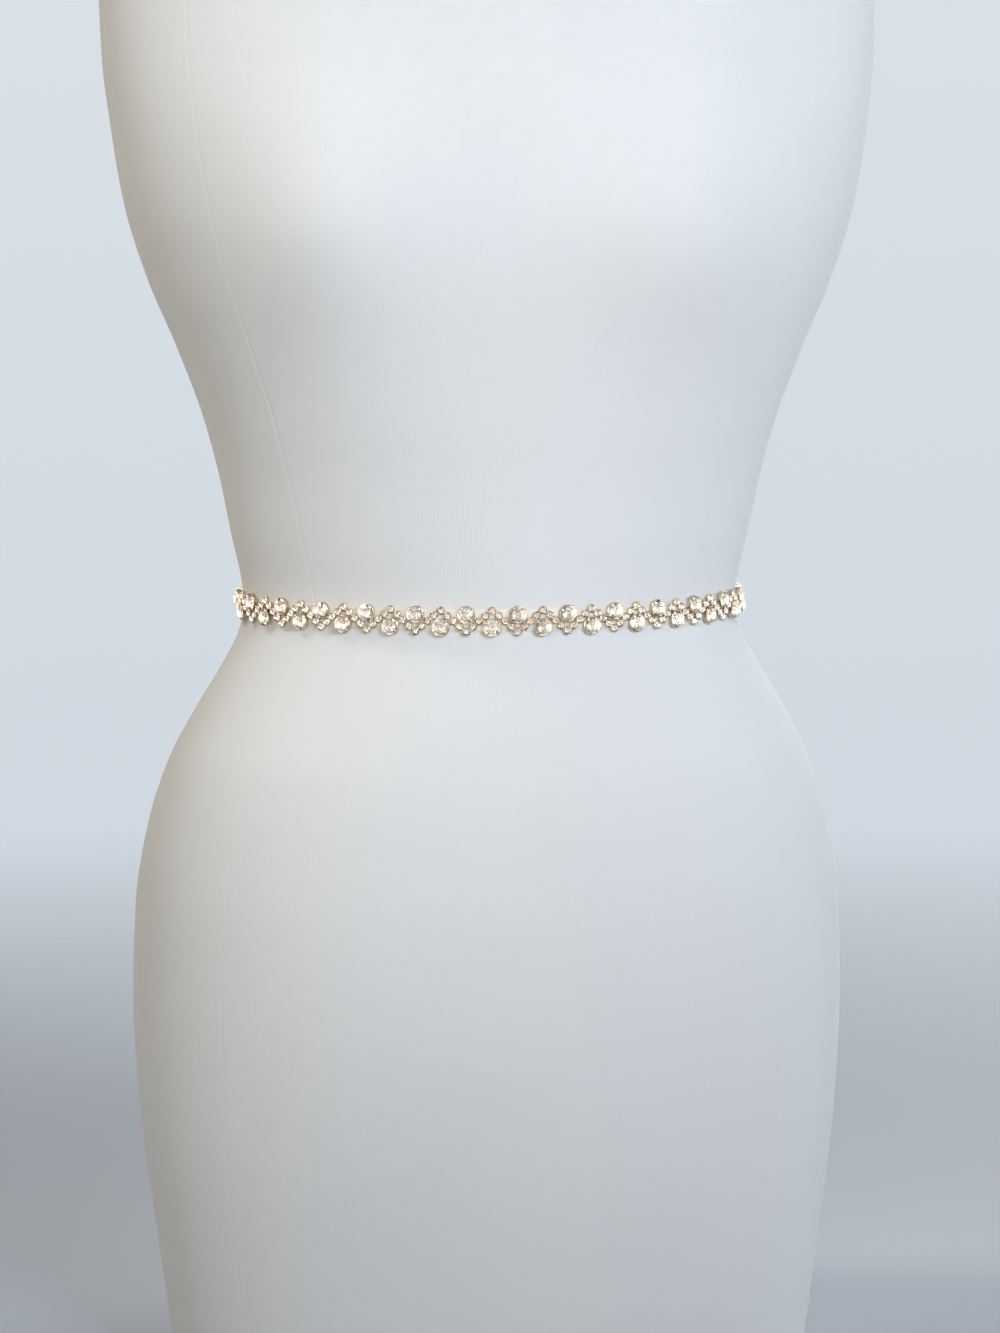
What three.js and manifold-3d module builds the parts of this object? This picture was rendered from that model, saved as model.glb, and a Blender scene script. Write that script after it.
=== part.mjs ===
// A narrow bridal sash: a satin ribbon with a rhinestone trim sewn along its front, knotted at the back
// of a limbless, table-top dress form. Millimetres, +Z up. The front faces -Y and the origin is on the
// form's flat base, straight below the middle of the waist.

import * as THREE from "three";
import { mergeVertices } from "three/addons/utils/BufferGeometryUtils.js";
import Module from "manifold-3d";

const wasm = await Module();
wasm.setup();

// Dress form
const WAIST_Z = 355; // height of the waist above the base
const NECK_Z = 440; // height of the neck's flat top above the waist
const FORM_SEGMENTS = 48;
const FORM_EDGE = 4; // the bevel round the base and round the top of the neck

// Heights are from the waist. half is half the width, front and back are the reach from the axis,
// and power is the section's squareness, 2 for an ellipse.
const FORM_SECTIONS = [
  { z: -355, half: 147.5, front: 90, back: 94, power: 2.25 },
  { z: -300, half: 155, front: 96, back: 106, power: 2.2 },
  { z: -240, half: 162.5, front: 103, back: 121, power: 2.15 },
  { z: -185, half: 165.5, front: 106, back: 129, power: 2.1 },
  { z: -140, half: 164, front: 105, back: 125, power: 2.1 },
  { z: -105, half: 158.5, front: 102, back: 116, power: 2.1 },
  { z: -73, half: 148.5, front: 97.5, back: 104, power: 2.1 },
  { z: -48, half: 135.5, front: 92, back: 93, power: 2 },
  { z: -26, half: 122.5, front: 86.5, back: 84.5, power: 1.92 },
  { z: -12, half: 115.8, front: 83.6, back: 80.7, power: 1.84 },
  { z: 0, half: 113.4, front: 83, back: 80, power: 1.8 },
  { z: 12, half: 114.8, front: 83.3, back: 80, power: 1.81 },
  { z: 30, half: 118.8, front: 84.7, back: 80.5, power: 1.87 },
  { z: 61, half: 125, front: 88, back: 83, power: 2 },
  { z: 87, half: 132, front: 92, back: 87, power: 2.12 },
  { z: 118, half: 143.5, front: 95, back: 91, power: 2.2 },
  { z: 149, half: 156.5, front: 97, back: 94, power: 2.2 },
  { z: 182, half: 166.5, front: 98, back: 96, power: 2.25 },
  { z: 215, half: 172, front: 97, back: 98, power: 2.3 },
  { z: 250, half: 176, front: 92, back: 99, power: 2.3 },
  { z: 285, half: 177, front: 84, back: 98, power: 2.3 },
  { z: 315, half: 173, front: 75, back: 94, power: 2.2 },
  { z: 335, half: 163, front: 68, back: 89, power: 2.1 },
  { z: 350, half: 145, front: 62, back: 84, power: 2 },
  { z: 362, half: 122, front: 58, back: 80, power: 2 },
  { z: 374, half: 98, front: 54, back: 76, power: 2 },
  { z: 386, half: 76, front: 50, back: 71, power: 2 },
  { z: 398, half: 63, front: 47, back: 66, power: 2 },
  { z: 414, half: 55, front: 44, back: 62, power: 2 },
  { z: 440, half: 52, front: 42, back: 58, power: 2 },
];

// The bust is a pair of soft lobes on the front, bridged in the middle.
const BUST = { z: 172, x: 84, reach: 21, spreadX: 50, spreadUp: 62, spreadDown: 52 };
const BUST_BRIDGE = { reach: 7, spreadX: 46 };
const BUST_FADE = 1.6; // how soon the bust fades out towards the sides

// Ribbon
const RIBBON_WIDTH = 10;
const RIBBON_THICK = 1;
const CLEARANCE = 0.3; // between pieces that touch
const RIBBON_STEP = 8.2;
const PAST_TRIM = 8; // from the trim's end to the ribbon's own seam

// Trim. A unit is one large stone with a V of small stones across from it. Units alternate up and down.
// A stone's cup stands on its radius, with a wall up to the girdle. along and up are from the unit's
// centre on the trim's middle line, with the large stone up.
const UNIT_PITCH = 11.43;
const TRIM_SHIFT = -2.3; // along the sash, from the front centre to the trim's middle
const UNITS_PER_STRETCH = 5;
const STRETCHES = 8;
const PLATE_THICK = 0.9;
const UNIT_COUNT = UNITS_PER_STRETCH * STRETCHES;
const LARGE_STONE = { radius: 4, table: 2.2, girdle: 2.2, height: 3.5, sides: 10 };
const LARGE_UP = 2.9;
const SMALL_STONE = { radius: 1.85, table: 1.2, girdle: 0, height: 2.3, sides: 6 };
const SMALL_ALONG = 2.95;
const SMALL_UP = -2.45;
const TIP_UP = -4.7;
const PLATE_REACH = UNIT_PITCH / 2 + 0.3; // plates overlap under the link stones
const PLATE_CUT = 3.6; // the reach where the next stretch's link stone is in the way

// Knot and tails at the back
const KNOT = { half: 4.4, height: 12.5, depth: 6.4, stand: 0.55, sides: 14 };
const KNOT_LIFT = 1.3; // how far the ribbon is drawn off the form beside the knot
const KNOT_DRAW = 34; // the length over which the ribbon narrows towards the knot
const KNOT_WIDTH = 7.4; // the ribbon's width where it enters the knot
const TAILS = [
  { name: "sash_tail_left", start: -4.1, end: -23, drop: 262, wave: 2.4, turn: 0.3, phase: 0.4 },
  { name: "sash_tail_right", start: 4.1, end: 20, drop: 274, wave: 2.8, turn: -0.36, phase: 2.1 },
];
const TAIL_STEPS = 30;
const TAIL_STAND = 2.8; // from the form to the middle of the tail's thickness
const TAIL_WAVES = 2; // over the tail's length
const TAIL_TWISTS = 1.1; // over the tail's length
const TAIL_CUT = 6; // the slant of the cut end
const HIP_Z = -185; // the form's fullest level, below which the tails fall plumb

const COLOURS = {
  form: { color: 0xe9e6df, roughness: 0.85, metalness: 0 },
  ribbon: { color: 0xf4efe4, roughness: 0.38, metalness: 0 },
  trim: { color: 0xe3c58a, roughness: 0.22, metalness: 0.85 },
};

const smoothstep = (t) => t * t * (3 - 2 * t);
const clamp01 = (t) => Math.min(1, Math.max(0, t));

// A section column at height z, by monotone cubic interpolation, so that no bulge is added between rows.
function column(key, z) {
  const rows = FORM_SECTIONS;
  const last = rows.length - 1;
  const height = Math.min(rows[last].z, Math.max(rows[0].z, z));
  let i = 0;
  while (i < last - 1 && height > rows[i + 1].z) i += 1;
  const run = (k) => rows[k + 1].z - rows[k].z;
  const rise = (k) => (rows[k + 1][key] - rows[k][key]) / run(k);
  const slope = (k) => {
    if (k === 0) return rise(0);
    if (k === last) return rise(last - 1);
    const before = rise(k - 1);
    const after = rise(k);
    if (before * after <= 0) return 0;
    const a = 2 * run(k) + run(k - 1);
    const b = run(k) + 2 * run(k - 1);
    return (a + b) / (a / before + b / after);
  };
  const h = run(i);
  const t = (height - rows[i].z) / h;
  return (
    rows[i][key] * (1 + 2 * t) * (1 - t) ** 2 +
    slope(i) * h * t * (1 - t) ** 2 +
    rows[i + 1][key] * t * t * (3 - 2 * t) +
    slope(i + 1) * h * t * t * (t - 1)
  );
}

// How far the bust stands out at x across and z above the waist.
function bustReach(x, z) {
  const spreadZ = z > BUST.z ? BUST.spreadUp : BUST.spreadDown;
  const level = Math.exp(-(((z - BUST.z) / spreadZ) ** 2));
  const lobes = Math.exp(-(((Math.abs(x) - BUST.x) / BUST.spreadX) ** 2));
  const bridge = Math.exp(-((x / BUST_BRIDGE.spreadX) ** 2));
  return level * (BUST.reach * lobes + BUST_BRIDGE.reach * bridge);
}

// The form's surface. turn is 0 at the front, and grows towards +X. z is from the waist.
function formPoint(turn, z) {
  const half = column("half", z);
  const front = column("front", z);
  const back = column("back", z);
  const power = 2 / column("power", z);
  const across = Math.sign(Math.sin(turn)) * Math.abs(Math.sin(turn)) ** power;
  const forward = Math.sign(Math.cos(turn)) * Math.abs(Math.cos(turn)) ** power;
  const x = half * across;
  const y = (back - front) / 2 - ((back + front) / 2) * forward;
  const facing = clamp01(Math.cos(turn) * BUST_FADE);
  return new THREE.Vector3(x, y - bustReach(x, z) * smoothstep(facing), WAIST_Z + z);
}

// The outward direction, level with the ground.
function formNormal(turn, z) {
  const small = 0.01;
  const along = formPoint(turn + small, z).sub(formPoint(turn - small, z));
  return new THREE.Vector3(along.y, -along.x, 0).normalize();
}

// The form's back at x across and z above the waist.
function backY(x, z) {
  const across = clamp01(Math.abs(x) / column("half", z)) ** (column("power", z) / 2);
  return formPoint(Math.PI - Math.asin(across), z).y;
}

// A closed body through sections of equally many points, each anticlockwise about the way that the
// sections run.
function loft(sections) {
  const count = sections[0].length;
  const points = sections.flat();
  const index = [];
  for (let i = 0; i < sections.length - 1; i += 1) {
    for (let j = 0; j < count; j += 1) {
      const k = (j + 1) % count;
      const a = i * count + j;
      const b = i * count + k;
      index.push(a, b, b + count, a, b + count, a + count);
    }
  }
  const centreOf = (section) =>
    section.reduce((sum, p) => sum.add(p), new THREE.Vector3()).divideScalar(count);
  const top = points.length - count;
  const first = points.push(centreOf(sections[0])) - 1;
  const last = points.push(centreOf(sections[sections.length - 1])) - 1;
  for (let j = 0; j < count; j += 1) {
    const k = (j + 1) % count;
    index.push(first, k, j);
    index.push(last, top + j, top + k);
  }
  return new THREE.BufferGeometry().setFromPoints(points).setIndex(index);
}

// Dress form: rings up the body, closer together at the waist and the shoulders.
function formGeometry() {
  const steps = [
    { from: -WAIST_Z + FORM_EDGE, to: -92, step: 37 },
    { from: -78, to: -30, step: 16 },
    { from: -20, to: 22, step: 8.4 },
    { from: 34, to: 300, step: 24 },
    { from: 316, to: 400, step: 12 },
    { from: 416, to: NECK_Z - FORM_EDGE, step: 20 },
  ];
  const ring = (z, inset) =>
    Array.from({ length: FORM_SEGMENTS }, (_, i) => {
      const turn = (i / FORM_SEGMENTS) * 2 * Math.PI;
      return formPoint(turn, z).addScaledVector(formNormal(turn, z), -inset);
    });
  const rings = [ring(-WAIST_Z, FORM_EDGE)];
  steps.forEach(({ from, to, step }) => {
    const count = Math.max(1, Math.round((to - from) / step));
    for (let i = 0; i <= count; i += 1) rings.push(ring(from + ((to - from) * i) / count, 0));
  });
  rings.push(ring(NECK_Z, FORM_EDGE));
  return loft(rings);
}

// The sash's middle line at a turn, out from the form. The sash is a straight band over the hollow of
// the waist, so it stands on whichever of its edges the form pushes out further.
function sashLine(turn, out) {
  const reach = (point) => Math.hypot(point.x, point.y);
  const foot = [-0.5, 0, 0.5]
    .map((share) => formPoint(turn, share * RIBBON_WIDTH))
    .reduce((far, point) => (reach(point) > reach(far) ? point : far));
  return foot.setZ(WAIST_Z).addScaledVector(formNormal(turn, 0), out);
}

// Arc lengths along the trim's back, from the front centre to the back centre.
const TRIM_BACK = CLEARANCE + RIBBON_THICK + CLEARANCE;
const ARC_SAMPLES = 1440;
const ARC_LENGTHS = [0];
for (let i = 1; i <= ARC_SAMPLES; i += 1) {
  const before = sashLine(((i - 1) / ARC_SAMPLES) * Math.PI, TRIM_BACK);
  const after = sashLine((i / ARC_SAMPLES) * Math.PI, TRIM_BACK);
  ARC_LENGTHS.push(ARC_LENGTHS[i - 1] + before.distanceTo(after));
}
const ARC_HALF = ARC_LENGTHS[ARC_SAMPLES];

// The turn at arc length s from the front centre, positive towards +X.
function turnAt(s) {
  const length = Math.min(Math.abs(s), ARC_HALF);
  const after = Math.max(
    1,
    ARC_LENGTHS.findIndex((reached) => reached >= length),
  );
  const step = ARC_LENGTHS[after] - ARC_LENGTHS[after - 1];
  const share = (length - ARC_LENGTHS[after - 1]) / step;
  return (Math.sign(s) * Math.PI * (after - 1 + share)) / ARC_SAMPLES;
}

// A point of the sash: up from its middle line, and out from the form.
function sashPoint(s, up, out) {
  return sashLine(turnAt(s), out).add(new THREE.Vector3(0, 0, up));
}

// The ribbon's stretch from arc length a to b. Near the knot it narrows and lifts off the form.
function ribbonGeometry(a, b) {
  const count = Math.ceil((b - a) / RIBBON_STEP);
  const sections = [];
  for (let i = 0; i <= count; i += 1) {
    const s = a + ((b - a) * i) / count;
    const near = smoothstep(clamp01(1 - (ARC_HALF - Math.abs(s) - KNOT.half) / KNOT_DRAW));
    const half = (RIBBON_WIDTH + (KNOT_WIDTH - RIBBON_WIDTH) * near) / 2;
    const inner = CLEARANCE + KNOT_LIFT * near;
    const outer = inner + RIBBON_THICK;
    sections.push([
      sashPoint(s, -half, inner),
      sashPoint(s, half, inner),
      sashPoint(s, half, outer),
      sashPoint(s, -half, outer),
    ]);
  }
  return loft(sections);
}

// The knot: a band of gathered ribbon wound over the crossing, rounded at its two sides.
function knotGeometry() {
  const columns = [
    { x: -1, share: 0.72 },
    { x: -0.82, share: 0.93 },
    { x: -0.4, share: 1 },
    { x: 0.4, share: 1 },
    { x: 0.82, share: 0.93 },
    { x: 1, share: 0.72 },
  ];
  const middle = backY(0, 0) + KNOT.stand + KNOT.depth / 2;
  const sections = columns.map(({ x, share }) =>
    Array.from({ length: KNOT.sides }, (_, i) => {
      const angle = (i / KNOT.sides) * 2 * Math.PI;
      const y = Math.cos(angle) * (KNOT.depth / 2) * share;
      const z = Math.sin(angle) * (KNOT.height / 2) * share;
      return new THREE.Vector3(x * KNOT.half, middle + y, WAIST_Z + z);
    }),
  );
  return loft(sections);
}

// A point on the middle of a tail, at share t of its drop. It lies on the form's back as far as the
// hips and falls plumb from there, in soft waves.
function tailPoint({ start, end, drop, wave, phase }, t) {
  const z = -KNOT.height / 2 - CLEARANCE - drop * t;
  const x = start + (end - start) * smoothstep(t);
  const ripple = (1 - Math.cos(t * TAIL_WAVES * 2 * Math.PI + phase)) / 2;
  const swell = wave * ripple * smoothstep(clamp01(t * 3));
  return new THREE.Vector3(x, backY(x, Math.max(z, HIP_Z)) + TAIL_STAND + swell, WAIST_Z + z);
}

// A hanging tail: narrow under the knot, opening to the ribbon's width, with a slow twist and a
// slanted end.
function tailGeometry(tail) {
  const sections = [];
  for (let i = 0; i <= TAIL_STEPS; i += 1) {
    const t = i / TAIL_STEPS;
    const before = tailPoint(tail, Math.max(0, t - 0.01));
    const tangent = tailPoint(tail, Math.min(1, t + 0.01)).sub(before).normalize();
    const twist = Math.sin(t * TAIL_TWISTS * 2 * Math.PI + tail.phase);
    const angle = tail.turn * twist * smoothstep(clamp01(t * 4));
    const across = new THREE.Vector3(Math.cos(angle), Math.sin(angle), 0);
    across.addScaledVector(tangent, -across.dot(tangent)).normalize();
    const outward = new THREE.Vector3().crossVectors(tangent, across);
    const open = smoothstep(clamp01(t * 5));
    const half = (KNOT_WIDTH + (RIBBON_WIDTH - KNOT_WIDTH) * open) / 2;
    const slant = i === TAIL_STEPS ? (TAIL_CUT * Math.sign(tail.start)) / 2 : 0;
    const corner = (side, face) =>
      tailPoint(tail, t)
        .addScaledVector(across, side * half)
        .addScaledVector(outward, (face * RIBBON_THICK) / 2)
        .addScaledVector(tangent, side * slant);
    sections.push([corner(1, -1), corner(1, 1), corner(-1, 1), corner(-1, -1)]);
  }
  return loft(sections);
}

function solidOf(geometry) {
  const bare = geometry.clone();
  bare.deleteAttribute("normal");
  bare.deleteAttribute("uv");
  const merged = mergeVertices(bare, 1e-4);
  const vertProperties = merged.attributes.position.array;
  const triVerts = new Uint32Array(merged.index.array);
  return new wasm.Manifold(new wasm.Mesh({ numProp: 3, vertProperties, triVerts }));
}

function geometryOf(solid) {
  const { vertProperties, triVerts } = solid.getMesh();
  const geometry = new THREE.BufferGeometry();
  geometry.setAttribute("position", new THREE.BufferAttribute(vertProperties, 3));
  geometry.setIndex(new THREE.BufferAttribute(triVerts, 1));
  return geometry;
}

// A stone in its cup, in the unit's own place: x along the sash, y up, z out of the form. The profile
// runs up the cup's wall to the girdle, and over the crown to the table.
function stoneSolid({ along = 0, up = 0, radius, table, girdle, height, sides }) {
  const wall = girdle > 0 ? [[radius, girdle]] : [];
  const profile = [[0, 0], [radius, 0], ...wall, [table, height], [0, height]];
  const points = profile.map(([out, rise]) => new THREE.Vector2(out, rise));
  const turned = new THREE.LatheGeometry(points, sides).rotateX(Math.PI / 2);
  return solidOf(turned.translate(along, up, 0));
}

// The kite-shaped plate that joins a unit's stones. way is 1 with the large stone up, and -1 with it
// down. The plate is cut short where the stretch before has its link stone.
function plateSolid(way, cutBefore) {
  const slope = (up) => up * (1 - PLATE_CUT / PLATE_REACH);
  const before = cutBefore
    ? [[-PLATE_CUT, slope(LARGE_UP)], [-PLATE_CUT, slope(TIP_UP)]]
    : [[-PLATE_REACH, 0]];
  const outline = [[0, LARGE_UP], ...before, [0, TIP_UP], [PLATE_REACH, 0]];
  const shape = new THREE.Shape(outline.map(([along, up]) => new THREE.Vector2(along, up * way)));
  return solidOf(new THREE.ExtrudeGeometry(shape, { depth: PLATE_THICK, bevelEnabled: false }));
}

// A unit: its large stone, the V of small ones and the link stone after it. The trim's first unit has
// a link stone before it too, and the first unit of any other stretch makes room for its neighbour's.
function unitSolid({ way, linkBefore, cutBefore }) {
  const solids = [
    plateSolid(way, cutBefore),
    stoneSolid({ ...LARGE_STONE, up: LARGE_UP * way }),
    stoneSolid({ ...SMALL_STONE, along: -SMALL_ALONG, up: SMALL_UP * way }),
    stoneSolid({ ...SMALL_STONE, along: SMALL_ALONG, up: SMALL_UP * way }),
    stoneSolid({ ...SMALL_STONE, up: TIP_UP * way }),
    stoneSolid({ ...SMALL_STONE, along: UNIT_PITCH / 2 }),
  ];
  if (linkBefore) solids.push(stoneSolid({ ...SMALL_STONE, along: -UNIT_PITCH / 2 }));
  return wasm.Manifold.union(solids);
}

// Where unit i stands, counted from -X round the front to +X.
function unitPlace(i) {
  const s = (i - (UNIT_COUNT - 1) / 2) * UNIT_PITCH + TRIM_SHIFT;
  const along = sashPoint(s + 1, 0, TRIM_BACK).sub(sashPoint(s - 1, 0, TRIM_BACK)).normalize();
  const out = new THREE.Vector3(along.y, -along.x, 0).normalize();
  const up = new THREE.Vector3().crossVectors(out, along);
  return new THREE.Matrix4().makeBasis(along, up, out).setPosition(sashPoint(s, 0, TRIM_BACK));
}

// One stretch of trim: a run of units joined at their link stones. Every other unit is upside down.
function trimGeometry(stretch) {
  const solids = [];
  for (let k = 0; k < UNITS_PER_STRETCH; k += 1) {
    const i = stretch * UNITS_PER_STRETCH + k;
    const way = i % 2 ? -1 : 1;
    const unit = unitSolid({ way, linkBefore: i === 0, cutBefore: k === 0 && i > 0 });
    solids.push(solidOf(geometryOf(unit).applyMatrix4(unitPlace(i))));
  }
  return geometryOf(wasm.Manifold.union(solids));
}

function mesh(name, geometry, look) {
  const piece = new THREE.Mesh(geometry, new THREE.MeshStandardMaterial(COLOURS[look]));
  piece.name = name;
  return piece;
}

const SEAM = (UNIT_COUNT * UNIT_PITCH) / 2 + PAST_TRIM; // where the ribbon's front meets its sides
const KNOT_SIDE = ARC_HALF - KNOT.half - CLEARANCE;

const group = new THREE.Group();
group.add(mesh("dress_form", formGeometry(), "form"));
group.add(mesh("sash_ribbon_front", ribbonGeometry(-SEAM, SEAM), "ribbon"));
group.add(mesh("sash_ribbon_left", ribbonGeometry(-KNOT_SIDE, -SEAM - CLEARANCE), "ribbon"));
group.add(mesh("sash_ribbon_right", ribbonGeometry(SEAM + CLEARANCE, KNOT_SIDE), "ribbon"));
group.add(mesh("sash_knot", knotGeometry(), "ribbon"));
TAILS.forEach((tail) => group.add(mesh(tail.name, tailGeometry(tail), "ribbon")));
for (let i = 0; i < STRETCHES; i += 1) {
  group.add(mesh(`trim_stretch_${i + 1}`, trimGeometry(i), "trim"));
}

export default group;
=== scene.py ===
"""A narrow bridal sash on a table-top dress form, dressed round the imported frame.

Sizes are in millimetres and are turned into metres where a mesh is made. The front faces -Y.
"""
import math
import random

import bpy
from mathutils import Matrix, Vector
import numpy as np


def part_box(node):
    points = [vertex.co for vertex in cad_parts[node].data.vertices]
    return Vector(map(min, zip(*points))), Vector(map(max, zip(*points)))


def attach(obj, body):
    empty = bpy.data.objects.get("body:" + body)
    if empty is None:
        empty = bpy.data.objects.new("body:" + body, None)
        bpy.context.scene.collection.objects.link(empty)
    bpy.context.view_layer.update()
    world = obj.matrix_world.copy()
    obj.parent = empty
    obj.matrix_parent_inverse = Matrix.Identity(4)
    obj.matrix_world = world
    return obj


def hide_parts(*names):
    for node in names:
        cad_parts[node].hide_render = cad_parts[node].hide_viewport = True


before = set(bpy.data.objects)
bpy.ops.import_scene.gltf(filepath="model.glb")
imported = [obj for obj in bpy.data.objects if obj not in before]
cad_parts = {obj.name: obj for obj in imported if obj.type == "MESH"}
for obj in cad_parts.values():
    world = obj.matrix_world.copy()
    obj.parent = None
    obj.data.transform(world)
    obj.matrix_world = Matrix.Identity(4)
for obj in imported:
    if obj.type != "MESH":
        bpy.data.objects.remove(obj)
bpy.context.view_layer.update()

MM = 0.001

# Dress form. Heights are from the waist. Columns: z, half the width, reach to the front, reach to the
# back, and the section's squareness, 2 for an ellipse.
NECK_Z = 440
WAIST_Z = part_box("dress_form")[1][2] / MM - NECK_Z
FORM_EDGE = 4
FORM_SECTIONS = np.array([
    (-355, 147.5, 90, 94, 2.25),
    (-300, 155, 96, 106, 2.2),
    (-240, 162.5, 103, 121, 2.15),
    (-185, 165.5, 106, 129, 2.1),
    (-140, 164, 105, 125, 2.1),
    (-105, 158.5, 102, 116, 2.1),
    (-73, 148.5, 97.5, 104, 2.1),
    (-48, 135.5, 92, 93, 2),
    (-26, 122.5, 86.5, 84.5, 1.92),
    (-12, 115.8, 83.6, 80.7, 1.84),
    (0, 113.4, 83, 80, 1.8),
    (12, 114.8, 83.3, 80, 1.81),
    (30, 118.8, 84.7, 80.5, 1.87),
    (61, 125, 88, 83, 2),
    (87, 132, 92, 87, 2.12),
    (118, 143.5, 95, 91, 2.2),
    (149, 156.5, 97, 94, 2.2),
    (182, 166.5, 98, 96, 2.25),
    (215, 172, 97, 98, 2.3),
    (250, 176, 92, 99, 2.3),
    (285, 177, 84, 98, 2.3),
    (315, 173, 75, 94, 2.2),
    (335, 163, 68, 89, 2.1),
    (350, 145, 62, 84, 2),
    (362, 122, 58, 80, 2),
    (374, 98, 54, 76, 2),
    (386, 76, 50, 71, 2),
    (398, 63, 47, 66, 2),
    (414, 55, 44, 62, 2),
    (440, 52, 42, 58, 2),
])
HALF, FRONT, BACK, POWER = 1, 2, 3, 4
BUST = {"z": 172, "x": 84, "reach": 21, "spread_x": 50, "spread_up": 62, "spread_down": 52}
BUST_BRIDGE = {"reach": 7, "spread_x": 46}
BUST_FADE = 1.6
SEAM_TURNS = [50, -50, 90, -90, 130, -130, 180]  # degrees round from the front
SEAM_GROOVE = {"depth": 0.08, "width": 0.5, "puff": 0.03, "puff_at": 1.8, "puff_width": 1}
SEAM_COLUMNS = [0, 0.4, 0.8, 1.3, 1.8, 2.5, 3.4]  # mm from a seam to the columns of points beside it
SEAM_RADIUS = 130  # the reach from the axis at which those lengths become turns
SEAM_MARGIN = 0.008  # the turn kept free of even columns past a seam's own
EDGE_STEPS = 5
FORM_COLUMNS = 180
FORM_ROW = 4  # mm between rows of points
COVER_ROUND = 700  # mm of jersey round the form
CAP_RINGS = (0.66, 0.33)  # inner rings on the neck's and the foot's flat ends, as shares of the edge

# Sash: where the ribbon and the trim run, as in the solids.
CLEARANCE = 0.3
RIBBON_WIDTH = 10
TRIM_BACK = 1.6
UNIT_PITCH = 11.43
UNITS_PER_STRETCH = 5
STRETCHES = 8
UNIT_COUNT = UNITS_PER_STRETCH * STRETCHES
TRIM_SHIFT = -2.3
PAST_TRIM = 8
RIBBON_SEAM = UNIT_COUNT * UNIT_PITCH / 2 + PAST_TRIM

# Ribbon as cloth
CLOTH = 0.3  # thickness of the satin
SATIN_STEP = 1.6  # between rows of points along the ribbon
SATIN_COLUMNS = 17
HEM = {"rise": 0.5, "start": 0.86, "width": 0.1}  # thicker edges, in shares of half the width
HEM_EDGE = {"fall": 0.55, "start": 0.97, "width": 0.03}  # and thinner at the very edge
RIBBON_STAND = 0.3  # from the form to the middle of the satin at the ribbon's edges
RIBBON_CROWN = 0.4  # how much further the ribbon's middle stands out
PUCKER = {"height": 0.12, "length": 7.3}  # small waves at the ribbon's edges
PULL = 0.1  # how far the stitches at each unit draw the ribbon's edges in
SEAM_MEET = 0.13  # how far the satin reaches past its solid, to meet the next stretch

# Trim
TRIM_STAND = 0.95  # from the form to the back of the cups
LARGE_UP = 2.9
SMALL_ALONG = 2.95
SMALL_UP = -2.45
TIP_UP = -4.7
LARGE = {"cup": 3.95, "wall": 2.0, "stone": 3.62, "girdle": 2.1, "crown": 1.25, "pavilion": 1.8}
SMALL = {"cup": 1.84, "wall": 1.3, "stone": 1.62, "girdle": 1.38, "crown": 0.62, "pavilion": 0.9}
CUP_SIDES = {"large": 32, "small": 20}
STONE_GAP = 0.04  # between a stone and its cup
BAR_RADIUS = 0.34
BAR_HEIGHT = 0.5
BAR_SIDES = 8
THREAD_RADIUS = 0.11
STITCH = {"reach": 0.95, "over": 0.12, "sink": 0.05, "lean": 0.9}
STITCH_SPOTS = [(4.05, 0.85, -1), (4.35, -1.2, 1)]  # along, up, and which way the loop leans
STONE_TILT = 0.05  # how far a stone may sit askew
PRONG_SPIN = 0.25
CREASE = math.radians(38)  # metal edges sharper than this stay crisp
CLOTH_CREASE = math.radians(60)

# Knot and tails
KNOT = {"half": 4.4, "height": 12.5, "depth": 6.4, "stand": 0.55}
KNOT_SIDE = 1.2  # from the back centre to the end of the satin inside the knot
KNOT_CLOTH = 0.4
KNOT_ROWS, KNOT_COLUMNS = 72, 23
KNOT_INSET = {"depth": 0.25, "height": 0.2}  # keeps the folds inside the knot's solid
KNOT_TAPER = 0.26  # how much flatter the knot is at its two sides
KNOT_SKEW = 0.06
KNOT_FOLDS = {"depth": 0.05, "count": 1.5, "slant": 0.16}
KNOT_CREASES = {"depth": 0.016, "count": 3.6, "slant": 0.3}
KNOT_LIFT = 2.4
KNOT_DRAW = 34
KNOT_WIDTH = 7.4
DRAWN_PLEATS = {"depth": 0.62, "count": 3.2, "drift": 0.05}
TAILS = [
    {"name": "left", "start": -4.1, "end": -23, "drop": 262, "wave": 2.4, "turn": 0.3, "phase": 0.4},
    {"name": "right", "start": 4.1, "end": 20, "drop": 274, "wave": 2.8, "turn": -0.36, "phase": 2.1},
]
TAIL_ROWS, TAIL_COLUMNS = 150, 15
TAIL_WAVES = 2
TAIL_TWISTS = 1.1
TAIL_STAND = 0.6  # from the form to the tail's middle
TAIL_LIFT = 1.6  # more of it, under the knot
TAIL_CURL = 3.5  # how far the cut end curls out
TAIL_PLEATS = {"depth": 0.4, "more_at_top": 0.25, "count": 3, "phase": 0.6}
TAIL_CUP = {"depth": 0.35, "level": 0.3}
TAIL_CUT = {"slant": 6, "start": 0.93, "length": 0.07}  # the last two as shares of the tail
TAIL_TOP = {"start": 2.1, "width": 3.9, "share": 0.09}  # gathered where it leaves the knot
HIP_Z = -185

# Photograph: the frame it is placed in, and what one pixel measures at the waist's outline.
PHOTO_WIDTH, PHOTO_HEIGHT = 1000, 1333
WAIST_PIXEL = (490, 600)
PIXEL_SIZE = 0.4614
CAMERA_DISTANCE = 2200
CAMERA_RISE = math.radians(6.4)
CAMERA_TURN = math.radians(6)  # towards -X
SENSOR = 36

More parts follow.
